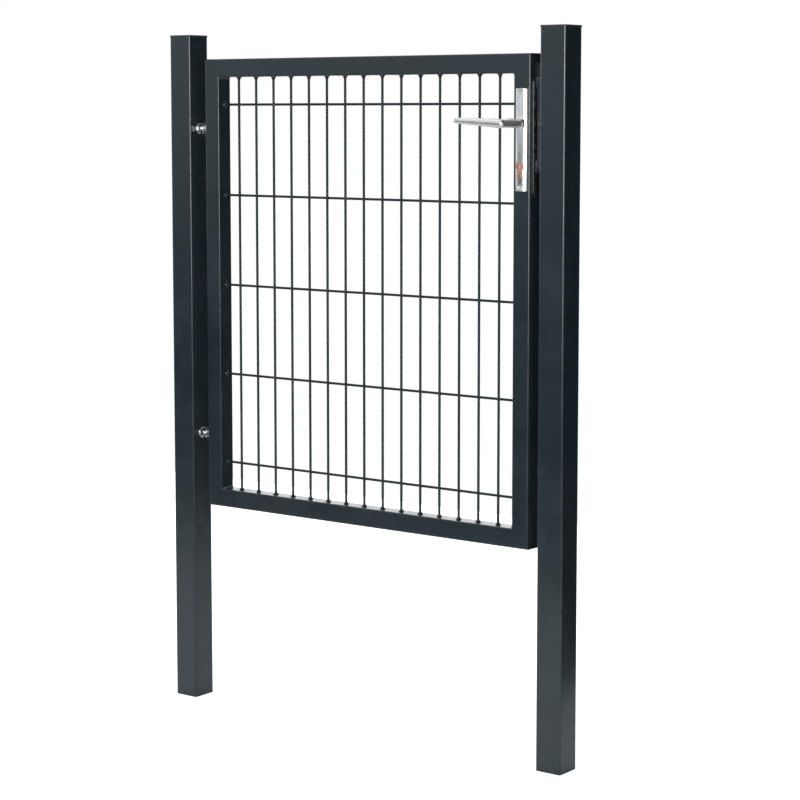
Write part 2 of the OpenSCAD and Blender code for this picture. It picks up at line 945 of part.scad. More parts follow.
// ---- Nodes ------------------------------------------------------------------

hinge_post();
latch_post();
hinge_post_cap();
latch_post_cap();
upper_eyebolt();
lower_eyebolt();
upper_bolt_nuts();
lower_bolt_nuts();
upper_bolt_washers();
lower_bolt_washers();
top_rail();
bottom_rail();
hinge_stile();
lock_stile();
mesh_panel();
upper_hinge_lugs();
lower_hinge_lugs();
upper_hinge_pin();
lower_hinge_pin();
upper_pin_nut();
lower_pin_nut();
lock_case();
lock_forend();
latch_bolt();
dead_bolt();
front_plate();
rear_plate();
plate_screws();
lock_cylinder();
lock_plug();
front_lever();
rear_lever();
spindle();
keeper();
keeper_screws();
stop_buffer();
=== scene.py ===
# %% [markdown]
# # A mesh garden gate between two square posts
#
# The gate is a leaf of welded mesh in a square-tube frame. It hangs on two
# eyebolts and shuts with a lever lock. The sizes and the moving bodies come
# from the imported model, so this lesson starts by loading it. Everything after
# that is about how the gate looks: rounded wire, chamfered nuts, threads,
# weld beads and the finishes of coated steel, zinc, aluminium and brass.

import math

import bmesh
import bpy
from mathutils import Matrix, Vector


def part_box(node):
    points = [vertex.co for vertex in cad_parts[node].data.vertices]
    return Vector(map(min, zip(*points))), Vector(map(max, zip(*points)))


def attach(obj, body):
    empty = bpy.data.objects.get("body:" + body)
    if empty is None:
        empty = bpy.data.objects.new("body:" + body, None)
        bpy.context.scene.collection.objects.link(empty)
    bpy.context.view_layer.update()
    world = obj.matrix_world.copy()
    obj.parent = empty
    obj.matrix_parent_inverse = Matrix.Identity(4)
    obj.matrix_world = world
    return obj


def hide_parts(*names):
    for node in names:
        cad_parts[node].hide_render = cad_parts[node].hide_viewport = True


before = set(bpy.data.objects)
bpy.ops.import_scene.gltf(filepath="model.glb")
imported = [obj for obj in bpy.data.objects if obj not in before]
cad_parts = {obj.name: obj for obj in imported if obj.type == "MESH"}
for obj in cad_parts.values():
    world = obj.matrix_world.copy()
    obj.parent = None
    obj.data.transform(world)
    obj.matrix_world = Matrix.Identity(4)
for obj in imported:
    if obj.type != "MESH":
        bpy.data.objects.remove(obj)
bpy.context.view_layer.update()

# %% [markdown]
# Blender works in metres, while steelwork is drawn in millimetres. Writing
# `5 * MM` keeps the numbers readable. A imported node's box gives the places
# that the new pieces need, so nothing here is placed by eye. The pieces are
# drawn in millimetres. The camera, the studio and its lamps are placed in
# metres.

# %% Units and places
MM = 0.001


def span(node):
    """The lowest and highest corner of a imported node, in millimetres."""
    low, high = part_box(node)
    return [v / MM for v in low], [v / MM for v in high]


leaf_low, leaf_high = span("hinge_stile")[0], span("lock_stile")[1]
panel_low, panel_high = span("mesh_panel")
print("leaf in mm:", [round(v, 1) for v in leaf_low + leaf_high])

# %% [markdown]
# ## Camera
#
# The gate is seen from the right of its lever side, from about five metres,
# with a long lens. A long lens keeps the posts nearly parallel. A small shift
# lowers the view, as an architect's lens does, so that the camera can stay
# almost level.

# %% Camera
CAMERA_TILT, CAMERA_TURN = 0.1044, 0.6525  # radians, down and to the left

camera = bpy.data.objects.new("camera", bpy.data.cameras.new("camera"))
bpy.context.scene.collection.objects.link(camera)
camera.location = (3.3843, -3.6872, 1.3335)
camera.rotation_euler = (math.radians(90) - CAMERA_TILT, 0, CAMERA_TURN)
camera.data.lens = 99.6
camera.data.shift_y = -0.07
camera.data.clip_end = 200
bpy.context.scene.camera = camera
print("camera stands", round(camera.location.length, 2), "m from the hinge post's foot")

# %% [markdown]
# ## Node helpers
#
# Every material below is a small network of nodes. One function adds a node,
# fills in its settings and plugs in its links. Another turns a written sRGB
# colour into the linear numbers that a shader works with. The rest are short
# names for the few kinds of node that all the finishes share.

# %% Node helper
# The colour sockets of a Mix node share their names with its other sockets,
# so they are reached by their number.
MIX_FIRST, MIX_SECOND, MIX_RESULT = 6, 7, 2


def linear(hex_colour):
    """An sRGB hex colour as linear RGBA."""
    channels = [int(hex_colour[i : i + 2], 16) / 255 for i in (1, 3, 5)]
    return [c / 12.92 if c <= 0.04045 else ((c + 0.055) / 1.055) ** 2.4 for c in channels] + [1]


def add_node(tree, kind, settings=None, links=None):
    """Adds one node. Settings fill its sockets or its properties, by name."""
    node = tree.nodes.new(kind)
    for name, value in (settings or {}).items():
        if isinstance(name, int) or name in node.inputs:
            node.inputs[name].default_value = value
        else:
            setattr(node, name, value)
    for name, source in (links or {}).items():
        tree.links.new(source, node.inputs[name])
    return node


# %% Short names for common nodes
def noise(tree, place, scale, detail, roughness=0.5):
    """Cloudy noise from 0 to 1. The scale counts clouds in a metre."""
    settings = {"Scale": scale, "Detail": detail, "Roughness": roughness}
    return add_node(tree, "ShaderNodeTexNoise", settings, {"Vector": place}).outputs["Fac"]


def blend(tree, amount, first, second):
    """Goes from one colour to another. Each is a hex colour or a socket."""
    settings, links = {"data_type": "RGBA"}, {0: amount}
    for socket, colour in ((MIX_FIRST, first), (MIX_SECOND, second)):
        if isinstance(colour, str):
            settings[socket] = linear(colour)
        else:
            links[socket] = colour
    return add_node(tree, "ShaderNodeMix", settings, links).outputs[MIX_RESULT]


def remap(tree, value, old_range, new_range):
    """Stretches one range of a value onto another."""
    names = ("From Min", "From Max", "To Min", "To Max")
    settings = dict(zip(names, old_range + new_range))
    return add_node(tree, "ShaderNodeMapRange", settings, {"Value": value}).outputs["Result"]


def relief(tree, height, strength, depth):
    """Fine relief that only tips the shading. The depth is in millimetres."""
    settings = {"Strength": strength, "Distance": depth * MM}
    return add_node(tree, "ShaderNodeBump", settings, {"Height": height}).outputs["Normal"]


def new_material(name):
    """An empty material with its output, its shader and object coordinates."""
    material = bpy.data.materials.new(name)
    material.use_nodes = True
    tree = material.node_tree
    tree.nodes.clear()
    output = add_node(tree, "ShaderNodeOutputMaterial")
    shader = add_node(tree, "ShaderNodeBsdfPrincipled")
    tree.links.new(shader.outputs["BSDF"], output.inputs["Surface"])
    place = add_node(tree, "ShaderNodeTexCoord").outputs["Object"]
    return material, tree, shader, place


def plug_in(tree, shader, colour, gloss, normal):
    """Links a shader's colour, its roughness and its relief."""
    tree.links.new(colour, shader.inputs["Base Color"])
    tree.links.new(gloss, shader.inputs["Roughness"])
    tree.links.new(normal, shader.inputs["Normal"])


# %% [markdown]
# ## Powder-coated steel
#
# The posts, the frame and the mesh are galvanised steel under an anthracite
# polyester powder. The powder melts in an oven and flows out almost flat, but
# keeps a fine orange peel: waves a few millimetres long and some hundredths
# of a millimetre deep. The eye reads it as a satin gloss that breaks up a
# little. Over the years rain leaves a soft, uneven haze, which is drawn as a
# slow change of colour and gloss, and small scuffs show a little lighter.
#
# On thin wire the powder pulls smooth before it sets, and hands and tools
# rarely rub it, so the wires have neither peel nor scuffs and a duller sheen.

# %% Powder-coated steel
def powder_coated_steel(name, scuffing, peel, sheen):
    """The anthracite coating, with strengths for its scuffs, peel and sheen."""
    material, tree, shader, place = new_material(name)
    haze = noise(tree, place, 9, 4, 0.6)
    clean = blend(tree, haze, "#10191d", "#182328")
    # Scuffs are short pale marks, where a finer noise is highest.
    scuffs = noise(tree, place, 70, 6, 0.75)
    rubbed = remap(tree, scuffs, (0.66, 0.8), (0, scuffing))
    colour = blend(tree, rubbed, clean, "#4a5559")
    gloss = remap(tree, haze, (0.3, 0.7), (0.2, 0.3))
    # The real peel has waves of about 2 mm, which are too fine to show from
    # five metres, so they are drawn 4 mm long.
    waves = noise(tree, place, 250, 2, 0.45)
    plug_in(tree, shader, colour, gloss, relief(tree, waves, peel, 0.3))
    shader.inputs["IOR"].default_value = 1.5
    shader.inputs["Specular IOR Level"].default_value = sheen
    return material


COATED = powder_coated_steel("anthracite_powder_coated_steel", 0.35, 0.05, 0.5)
COATED_WIRE = powder_coated_steel("anthracite_powder_coated_wire", 0.0, 0.0, 0.2)
print("made", COATED.name, COATED_WIRE.name)

# %% [markdown]
# ## Zinc-plated steel
#
# Eyebolts, nuts, washers, keeper screws and the lock case are plated. The
# thin zinc layer is bright with a cool cast, and its gloss changes in soft
# patches where the crystals grew, so the patches drive both colour and
# roughness.

# %% Zinc-plated steel
def zinc_plated_steel():
    material, tree, shader, place = new_material("zinc_plated_steel")
    # Crystals of zinc plate are well under a millimetre. They are drawn 3 mm
    # wide, or they would average out to a flat grey.
    crystals = add_node(
        tree,
        "ShaderNodeTexVoronoi",
        {"Scale": 330, "feature": "SMOOTH_F1"},
        {"Vector": place},
    ).outputs["Distance"]
    colour = blend(tree, crystals, "#c9cdd0", "#e6e8e9")
    gloss = remap(tree, crystals, (0, 0.8), (0.13, 0.27))
    grain = noise(tree, place, 900, 3)
    plug_in(tree, shader, colour, gloss, relief(tree, grain, 0.3, 0.1))
    shader.inputs["Metallic"].default_value = 1
    return material


ZINC = zinc_plated_steel()
print("made", ZINC.name)

# %% [markdown]
# ## Brushed metals
#
# The lock plates and the levers are anodised aluminium with a satin face,
# brushed along their length. The forend, the bolts and the plate screws are
# stainless steel, brushed a little finer. The stainless of the forend and the
# bolts is painted much darker than the metal is: painted shade for the narrow
# gap by the latch post. Brushing is thousands of thin parallel scratches: noise
# that is stretched along one axis gives both the streaks in the gloss and the
# tiny ridges in the relief. One function makes all four finishes, because only
# the colours, the axis and the gloss differ.

# %% Brushed metals
ALONG_X, ALONG_Z = 0, 2


def brushed_metal(name, dark, light, gloss_range, along):
    """Metal with fine scratches that run along one axis."""
    material, tree, shader, place = new_material(name)
    # Scratches are about 0.2 mm wide; they are drawn 0.6 mm wide to show.
    stretch = [1600, 1600, 1600]
    stretch[along] = 25
    stretched = add_node(tree, "ShaderNodeMapping", {"Scale": stretch}, {"Vector": place})
    streaks = noise(tree, stretched.outputs["Vector"], 1, 3, 0.65)
    handled = noise(tree, place, 60, 3)
    both = add_node(
        tree,
        "ShaderNodeMath",
        {"operation": "MULTIPLY"},
        {0: streaks, 1: handled},
    ).outputs["Value"]
    colour = blend(tree, streaks, dark, light)
    gloss = remap(tree, both, (0.1, 0.4), gloss_range)
    plug_in(tree, shader, colour, gloss, relief(tree, streaks, 0.25, 0.1))
    shader.inputs["Metallic"].default_value = 1
    return material


SATIN = brushed_metal(
    "satin_anodised_aluminium", "#cfd0d1", "#e4e4e4", (0.26, 0.38), ALONG_Z
)
LEVER = brushed_metal(
    "satin_anodised_aluminium_lever", "#c0bfbe", "#dddcdb", (0.3, 0.42), ALONG_X
)
# Painted shade: the stainless of the forend and the bolts gets a dark grey that the metal does
# not have. It stands for the shade in the gap by the latch post.
SHADED_STAINLESS = brushed_metal(
    "brushed_stainless_steel_painted_shade", "#505356", "#64676a", (0.22, 0.32), ALONG_Z
)
SCREW = brushed_metal(
    "stainless_steel_screws", "#c6c6c4", "#dddddb", (0.3, 0.42), ALONG_Z
)
print("made", SATIN.name, LEVER.name, SHADED_STAINLESS.name, SCREW.name)

# %% [markdown]
# ## Brass
#
# The key cylinder is extruded brass, turned on its face. Handling leaves it
# a warm, slightly coppery brown with lighter, polished places.

# %% Brass
def cylinder_brass():
    material, tree, shader, place = new_material("brass")
    tarnish = noise(tree, place, 220, 5, 0.6)
    colour = blend(tree, tarnish, "#b58672", "#d2a793")
    gloss = remap(tree, tarnish, (0.3, 0.7), (0.5, 0.38))
    plug_in(tree, shader, colour, gloss, relief(tree, tarnish, 0.2, 0.1))
    shader.inputs["Metallic"].default_value = 1
    return material


BRASS = cylinder_brass()
print("made", BRASS.name)

# %% [markdown]
# ## Moulded plastic and rubber
#
# The post caps are injection-moulded polyethylene, which is nearly black and
# has a fine spark-eroded texture from the mould. The buffer is EPDM rubber:
# darker, duller and a little dusty. One function serves both.

# %% Moulded plastic and rubber
def moulded(name, dark, light, gloss_range, pebble, depth):
    """A dull moulding with pebbles of a width and a depth in millimetres."""
    material, tree, shader, place = new_material(name)
    dust = noise(tree, place, 45, 5, 0.7)
    colour = blend(tree, dust, dark, light)
    gloss = remap(tree, dust, (0.3, 0.7), gloss_range)
    pebbles = add_node(
        tree,
        "ShaderNodeTexVoronoi",
        {"Scale": 1 / (pebble * MM)},
        {"Vector": place},
    ).outputs["Distance"]
    plug_in(tree, shader, colour, gloss, relief(tree, pebbles, 0.4, depth))
    return material


PLASTIC = moulded("moulded_polyethylene", "#1b1d1f", "#292b2d", (0.42, 0.55), 1.2, 0.05)
RUBBER = moulded("epdm_rubber", "#121314", "#232425", (0.72, 0.88), 1.6, 0.06)
print("made", PLASTIC.name, RUBBER.name)

# %% [markdown]
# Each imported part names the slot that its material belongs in. A new piece
# gets the finish of its slot too, unless it has a variant of its own.

# %% Finish of each slot
FINISHES = {
    "anthracite_powder_coat": COATED,
    "black_plastic": PLASTIC,
    "black_rubber": RUBBER,
    "zinc_plated_steel": ZINC,
    "satin_aluminium": SATIN,
    # The forend and the bolts: stainless painted dark as painted shade
    "stainless_steel": SHADED_STAINLESS,
    "brass": BRASS,
}
print("finishes for", len(FINISHES), "slots")

# %% [markdown]
# ## Skinning rings
#
# Nearly every part of a gate is a stack of rings: a nut is a hexagon whose
# corners are cut by a cone, a rod is a row of circles, a lever is circles
# along a bent line. So one function joins rings of points into a closed skin,
# and the pieces differ only in the rings that they hand over. This keeps the
# faces clean quads, which shade well and can be exported as they are.

# %% Ring helpers
def circle_ring(radius, height, sides=32):
    """A level ring. The radius is a number or a function of the angle."""
    ring = []
    for i in range(sides):
        angle = 2 * math.pi * i / sides
        r = radius(angle) if callable(radius) else radius
        ring.append((r * math.cos(angle), r * math.sin(angle), height))
    return ring


def rings_along_y(profile, x, z, sides=48):
    """Upright rings for pairs of a radius and a Y, round one axis."""
    return [[(x + px, y, z + pz) for px, pz, _ in circle_ring(r, 0, sides)] for r, y in profile]


def raised(rings, rise):
    """The same rings, moved up."""
    return [[(x, y, z + rise) for x, y, z in ring] for ring in rings]


def skin(mesh, rings, loop=False, place=lambda p: p):
    """Joins rings into one closed skin inside a bmesh.

    A loop runs back to its first ring. Any other stack gets two end caps.
    """
    rows = [[mesh.verts.new([c * MM for c in place(p)]) for p in ring] for ring in rings]
    pairs = list(zip(rows, rows[1:])) + ([(rows[-1], rows[0])] if loop else [])
    for a, b in pairs:
        for i in range(len(a)):
            j = (i + 1) % len(a)
            mesh.faces.new((a[i], a[j], b[j], b[i]))
    if not loop:
        mesh.faces.new(list(reversed(rows[0])))
        mesh.faces.new(rows[-1])


def finish_piece(name, mesh, body, slot, stands_for=(), sharp=35, material=None):
    """Turns a bmesh into a named piece that rides on its body.

    Edges that turn by more than the sharp angle, in degrees, stay crisp.
    """
    bmesh.ops.recalc_face_normals(mesh, faces=mesh.faces)
    for edge in mesh.edges:
        edge.smooth = len(edge.link_faces) == 2 and edge.calc_face_angle() < math.radians(sharp)
    for face in mesh.faces:
        face.smooth = True
    data = bpy.data.meshes.new(name)
    mesh.to_mesh(data)
    mesh.free()
    piece = bpy.data.objects.new(name, data)
    bpy.context.scene.collection.objects.link(piece)
    piece.data.materials.append(material or FINISHES[slot])
    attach(piece, body)
    if stands_for:
        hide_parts(*stands_for)
    print("made", name, "with", len(data.polygons), "faces")
    return piece


# %% [markdown]
# ## Welded mesh
#
# The infill is drawn steel wire: fifteen upright bars in front of five level
# wires, all 5 mm thick, under a generous 0.3 mm of zinc and powder. A machine
# presses each crossing together with a current, so the wires sink into each
# other and a small nugget swells out. The ends are welded to the frame with a
# hollow fillet of filler metal, which sets a little lumpy. The wires are round
# here, with sixteen sides and smooth shading, and only their welded ends are
# uneven.

# %% Welded mesh
WIRE_RADIUS, WIRE_SIDES = 2.8, 16
BAR_COUNT, BAR_PITCH, BAR_Y = 15, 50, -2.2
WIRE_COUNT, WIRE_PITCH, WIRE_Y = 5, 200, 2.2
# Radius and height of the weld fillet, from the frame outwards
FILLET = [(6.8, 0), (6.4, 0.6), (5.3, 1.5), (4.3, 2.7), (3.6, 4.2), (3.1, 5.8)]
FILLET += [(WIRE_RADIUS, 7.6)]
FILLET_HEIGHT = FILLET[-1][1]
SEED_TURN = 2.39  # radians that one seed's lumps lie round from the next one's

middle_x = (panel_low[0] + panel_high[0]) / 2
middle_z = (panel_low[2] + panel_high[2]) / 2
bar_xs = [middle_x + (i - BAR_COUNT // 2) * BAR_PITCH for i in range(BAR_COUNT)]
wire_zs = [middle_z + (i - WIRE_COUNT // 2) * WIRE_PITCH for i in range(WIRE_COUNT)]


def lumpy(radius, seed, amount):
    """A radius that wanders round the ring, differently for each seed.

    Two waves add up to 1.7 at most, so the amount is the furthest it wanders.
    """
    phase = SEED_TURN * seed

    def wander(a):
        wave = math.sin(2 * a + phase) + 0.7 * math.sin(3 * a + 1.7 * phase)
        return radius * (1 + amount * wave / 1.7)

    return wander


def rod_rings(length, seed):
    """A round wire with a hollow, uneven weld fillet at both ends."""
    half = length / 2
    rings = []
    for end in (-1, 1):
        foot = []
        for k, (r, z) in enumerate(FILLET):
            amount = 0.1 * (1 - z / FILLET_HEIGHT)
            outline = lumpy(r, seed + 5 * end + 0.3 * k, amount)
            foot.append(circle_ring(outline, end * (half - z), WIRE_SIDES))
        rings += foot if end < 0 else list(reversed(foot))
    return rings


mesh = bmesh.new()
bar_length = panel_high[2] - panel_low[2]
wire_length = panel_high[0] - panel_low[0]
for i, x in enumerate(bar_xs):
    skin(
        mesh,
        rod_rings(bar_length, i),
        place=lambda p: (x + p[0], BAR_Y + p[1], middle_z + p[2]),
    )
for i, z in enumerate(wire_zs):
    skin(
        mesh,
        rod_rings(wire_length, 20 + i),
        place=lambda p: (middle_x + p[2], WIRE_Y + p[1], z + p[0]),
    )
finish_piece(
    "mesh_wires",
    mesh,
    "leaf",
    "anthracite_powder_coat",
    ["mesh_panel"],
    material=COATED_WIRE,
)

# %% [markdown]
# The nuggets are flattened beads that fill the four corners between a bar
# and a wire. Each is a short stack of rounded rings, and no two are alike.

# %% Weld nuggets
# Radius of a nugget at each depth, from the front to the rear
NUGGET = [(0.6, -1.7), (2.3, -1.3), (3.3, -0.5), (3.4, 0.5), (2.4, 1.3), (0.6, 1.7)]

mesh = bmesh.new()
for i, x in enumerate(bar_xs):
    for j, z in enumerate(wire_zs):
        size = 1 + 0.06 * math.sin(2.1 * i + 3.7 * j)
        rings = [
            circle_ring(lumpy(r * size, i + 7 * j, 0.07), depth, WIRE_SIDES)
            for r, depth in NUGGET
        ]
        skin(mesh, rings, place=lambda p: (x + p[0], p[2], z + p[1]))
finish_piece("weld_nuggets", mesh, "leaf", "anthracite_powder_coat", material=COATED_WIRE)

# %% [markdown]
# ## Nuts and washers
#
# A hexagon nut is cut from a bar and turned on both faces, so its corners
# end in a 30 degree chamfer that leaves a curved line on each flat. That
# curve is what makes a nut look like a nut. Each ring takes the smaller of
# the hexagon's and the cone's radius, which draws the curve by itself.

# %% Nut and washer helpers
NUT_SIDES, WASHER_SIDES = 72, 48
NUT_CHAMFER = math.tan(math.radians(30))
FACE_SHARE = 0.92  # of the distance across flats, for the turned face
CHAMFER_STEPS = 5
BORE_CHAMFER = 0.6
WASHER_ROLL = 1.0  # radius of a washer's rolled outer edge
WASHER_BURR = 0.2  # chamfer of its bore


def hexagon(flats):
    """The radius of a hexagon at an angle, with flats square to the Y axis."""
    step = math.pi / 3
    return lambda a: flats / 2 / math.cos((a % step) - step / 2)


def nut_rings(flats, height, bore, both_faces=True):
    """A chamfered nut with a bore, as a closed loop of rings."""
    full = flats / 2 / math.cos(math.pi / 6)
    cut_radius = FACE_SHARE * flats / 2
    outline = hexagon(flats)
    tall = (full - cut_radius) * NUT_CHAMFER
    steps = [k / CHAMFER_STEPS for k in range(CHAMFER_STEPS + 1)]

    def level(depth, height_now):
        cone = cut_radius + depth / NUT_CHAMFER
        return circle_ring(lambda a: min(outline(a), cone), height_now, NUT_SIDES)

    rings = [level(t * tall, t * tall) if both_faces else level(tall, t * tall) for t in steps]
    rings += [level((1 - t) * tall, height - (1 - t) * tall) for t in steps]
    bore_profile = [(bore + BORE_CHAMFER, height), (bore, height - BORE_CHAMFER)]
    bore_profile += [(bore, BORE_CHAMFER), (bore + BORE_CHAMFER, 0)]
    return rings + [circle_ring(r, z, NUT_SIDES) for r, z in bore_profile]


def washer_rings(outer, bore, height):
    """A flat washer with rolled edges, as a closed loop of rings."""
    roll = [
        (WASHER_ROLL * (1 - math.sin(t)), WASHER_ROLL * (1 - math.cos(t)))
        for t in (0, 0.52, 1.05, 1.57)
    ]
    profile = [(bore, WASHER_BURR), (bore + WASHER_BURR, 0)]
    profile += [(outer - inset, rise) for inset, rise in roll]
    profile += [(outer - inset, height - rise) for inset, rise in reversed(roll)]
    profile += [(bore + WASHER_BURR, height), (bore, height - WASHER_BURR)]
    return [circle_ring(r, z, WASHER_SIDES) for r, z in profile]


# %% [markdown]
# ## Eyebolts
#
# Each hinge is an M12 eyebolt through both walls of the post, locked by a
# washer and a nut on either side. The thread is rolled: rounded crests with a
# pitch of 1.75 mm. Here the radius of a ring changes with the angle and the
# height together, which winds a true helix along the shank.

# %% Eyebolt helpers
THREAD_PITCH, THREAD_DEPTH = 1.75, 0.85
RINGS_PER_TURN = 8
CREST_SHARPNESS = 1.35  # above 1, the crests of the thread are flat
START_LENGTH, START_SLOPE = 1.1, 0.8  # of the chamfer at the thread's end
SHANK_RADIUS = 6
BOLT_BORE = 6.05
WASHER_RADIUS, WASHER_HEIGHT = 12, 2.5
BOLT_NUT_FLATS, BOLT_NUT_HEIGHT = 19, 10


def thread_rings(radius, length):
    """A threaded rod along Z, with a chamfered start."""
    rings, steps = [], max(2, int(length / (THREAD_PITCH / RINGS_PER_TURN)))
    for k in range(steps + 1):
        z = length * k / steps
        chamfer = START_SLOPE * max(0.0, START_LENGTH - z)

        def wound(a, z=z, chamfer=chamfer):
            turn = (z / THREAD_PITCH - a / (2 * math.pi)) % 1
            crest = 1 - abs(2 * turn - 1)
            groove = THREAD_DEPTH * (1 - min(1.0, CREST_SHARPNESS * crest))
            return radius - groove - chamfer

        rings.append(circle_ring(wound, z))
    return rings


def along_x(x0, y, z, sign=1):
    """Lays rings made along Z onto the X axis, starting from x0."""
    return lambda p: (x0 + sign * p[2], y + p[0] * sign, z + p[1])


def round_the_pin(hinge_z):
    """Puts level rings round the pin of the hinge at a height."""
    return lambda p: (pivot_x + p[0], p[1], hinge_z + p[2])


hinge_zs = {}
for hinge in ("upper", "lower"):
    low, high = span(hinge + "_eyebolt")
    hinge_zs[hinge] = (low[2] + high[2]) / 2
pin_low, pin_high = span("upper_hinge_pin")
pivot_x = (pin_low[0] + pin_high[0]) / 2
post_far_face, post_gate_face = (corner[0] for corner in span("hinge_post"))
bolt_tail_x = span("upper_eyebolt")[0][0]
print("hinges at Z", hinge_zs, "pivot at X", round(pivot_x, 2))

# %% Eyebolts
# The eye is forged: its edges are round and its bore is drilled.
EYE = [(5.05, -6.0), (5.5, -6.5), (8.4, -6.5), (9.4, -6.1), (9.9, -5.2), (10, -4), (10, 0)]
EYE += [(r, -h) for r, h in reversed(EYE[:-1])]
# The shank swells a little where it runs into the eye.
NECK = [(6, 0), (6, 2.2), (6.1, 3.2), (6.3, 4.4)]
NECK_OVERLAP = 3.2  # of the neck over the end of the thread
EYE_SIDES = 48
thread_end_x = pivot_x - 7.5

for hinge, hinge_z in hinge_zs.items():
    mesh = bmesh.new()
    thread = thread_rings(SHANK_RADIUS, thread_end_x - bolt_tail_x)
    skin(mesh, thread, place=along_x(bolt_tail_x, 0, hinge_z))
    eye = [circle_ring(r, h, EYE_SIDES) for r, h in EYE]
    skin(mesh, eye, loop=True, place=round_the_pin(hinge_z))
    neck = [circle_ring(r, h) for r, h in NECK]
    skin(mesh, neck, place=along_x(thread_end_x - NECK_OVERLAP, 0, hinge_z))
    name = hinge + "_threaded_eyebolt"
    finish_piece(name, mesh, "posts", "zinc_plated_steel", [hinge + "_eyebolt"])

# %% Nuts and washers on the post
for hinge, hinge_z in hinge_zs.items():
    nuts, washers = bmesh.new(), bmesh.new()
    for face, sign in ((post_gate_face, 1), (post_far_face, -1)):
        washer = washer_rings(WASHER_RADIUS, BOLT_BORE, WASHER_HEIGHT)
        skin(washers, washer, loop=True, place=along_x(face, 0, hinge_z, sign))
        nut = nut_rings(BOLT_NUT_FLATS, BOLT_NUT_HEIGHT, BOLT_BORE)
        on_bolt = along_x(face + sign * WASHER_HEIGHT, 0, hinge_z, sign)
        # A quarter turn puts two flats to the front and the rear, which
        # leaves the most room for the leaf's edge as it swings by.
        skin(nuts, nut, loop=True, place=lambda p: on_bolt((p[1], -p[0], p[2])))
    for suffix, mesh, node in (
        ("_locking_nuts", nuts, "_bolt_nuts"),
        ("_rolled_washers", washers, "_bolt_washers"),
    ):
        finish_piece(hinge + suffix, mesh, "posts", "zinc_plated_steel", [hinge + node])

# %% [markdown]
# ## Hinge pins and lugs
#
# The hinge pin is a bolt: a low chamfered head above, a plain shank through
# the two lugs and the eye, and a nut below. The lugs are cut from flat bar
# and welded to the stile before coating. Their outline is the round end and
# the straight sides, read as one radius for each angle around the pin.

# %% Hinge pins and lugs
LUG_RADIUS, LUG_SIDES = 9, 96
LUG_LOW, LUG_HIGH = 6.8, 11.8  # distances from the hinge's middle
PIN_BORE = 5.05
PIN_NUT_FLATS, PIN_NUT_HEIGHT, PIN_HEAD_HEIGHT = 16, 6, 4


def lug_outline(inset):
    """Radius of the lug at an angle: a round end and a square root."""
    root = leaf_low[0] - pivot_x
    side = LUG_RADIUS - inset

    def radius(a):
        if math.cos(a) <= 0:
            return side
        return min(side / max(abs(math.sin(a)), 1e-6), root / max(math.cos(a), 1e-6))

    return radius


def lug_rings(z0, z1):
    """A lug with a bore and softened edges, as a closed loop of rings."""
    softening = [(0.7, 0), (0.2, 0.2), (0, 0.7)]  # inset and rise
    profile = [(PIN_BORE, z0)]
    profile += [(lug_outline(inset), z0 + rise) for inset, rise in softening]
    profile += [(lug_outline(inset), z1 - rise) for inset, rise in reversed(softening)]
    profile += [(PIN_BORE, z1)]
    return [circle_ring(radius, z, LUG_SIDES) for radius, z in profile]


for hinge, hinge_z in hinge_zs.items():
    pin, nut, lugs = bmesh.new(), bmesh.new(), bmesh.new()
    at_pin = round_the_pin(hinge_z)
    low, high = span(hinge + "_hinge_pin")
    low_z, head_z = low[2] - hinge_z, high[2] - hinge_z - PIN_HEAD_HEIGHT
    shank = [(3.9, low_z), (4.9, low_z + 1), (5, low_z + 1.2), (5, head_z + 0.5)]
    skin(pin, [circle_ring(r, z) for r, z in shank], place=at_pin)
    # The head is a nut chamfered on top only, without the rings of its bore.
    head = nut_rings(PIN_NUT_FLATS, PIN_HEAD_HEIGHT, 3, both_faces=False)[:-4]
    skin(pin, raised(head, head_z), place=at_pin)
    nut_z = span(hinge + "_pin_nut")[0][2] - hinge_z
    rings = nut_rings(PIN_NUT_FLATS, PIN_NUT_HEIGHT, PIN_BORE)
    skin(nut, raised(rings, nut_z), loop=True, place=at_pin)
    for z0, z1 in ((LUG_LOW, LUG_HIGH), (-LUG_HIGH, -LUG_LOW)):
        skin(lugs, lug_rings(z0, z1), loop=True, place=at_pin)
    for suffix, mesh, node in (
        ("_pin_bolt", pin, "_hinge_pin"),
        ("_pin_lock_nut", nut, "_pin_nut"),
        ("_flat_bar_lugs", lugs, "_hinge_lugs"),
    ):
        finish_piece(hinge + suffix, mesh, "leaf", "anthracite_powder_coat", [hinge + node])

# %% [markdown]
# ## Levers
#
# A lever is two turned aluminium bars. The neck comes straight out of the
# lock, and runs into the side of the grip. The grip has a domed heel and
# tapers to a rounded tip. Both bars are stacks of rings, tipped a little about
# the lever's axis, as the spring in the lock holds them.

# %% Lever helpers
NECK_RADIUS, GRIP_RADIUS, TIP_RADIUS = 8.5, 9, 6
LEVER_LENGTH, LEVER_RISE, LEVER_DROP = 114, 6, 139
TAPER_START, TAPER_END, TAPER_STEPS = 9, 108.4, 8  # places along the grip

cylinder_low, cylinder_high = span("lock_cylinder")
lever_x = (cylinder_low[0] + cylinder_high[0]) / 2
lever_z = leaf_high[2] - LEVER_DROP
grip_y = span("front_lever")[0][1] + GRIP_RADIUS
tilt = math.asin(LEVER_RISE / LEVER_LENGTH)
print("lever axis at", round(lever_x, 2), round(lever_z, 2), "grip axis at Y", round(grip_y, 2))


def at_handle(side):
    """Tips the handle about its axis and puts it on the front or the rear."""

    def place(p):
        x, y, z = p
        tipped_x = x * math.cos(tilt) + z * math.sin(tilt)
        tipped_z = -x * math.sin(tilt) + z * math.cos(tilt)
        return lever_x + tipped_x, side * y, lever_z + tipped_z

    return place


def neck_rings():
    """The neck along Y, from inside the plate to the grip's axis."""
    return rings_along_y([(NECK_RADIUS, y) for y in (-20.5, -32, -50, -70, grip_y)], 0, 0)


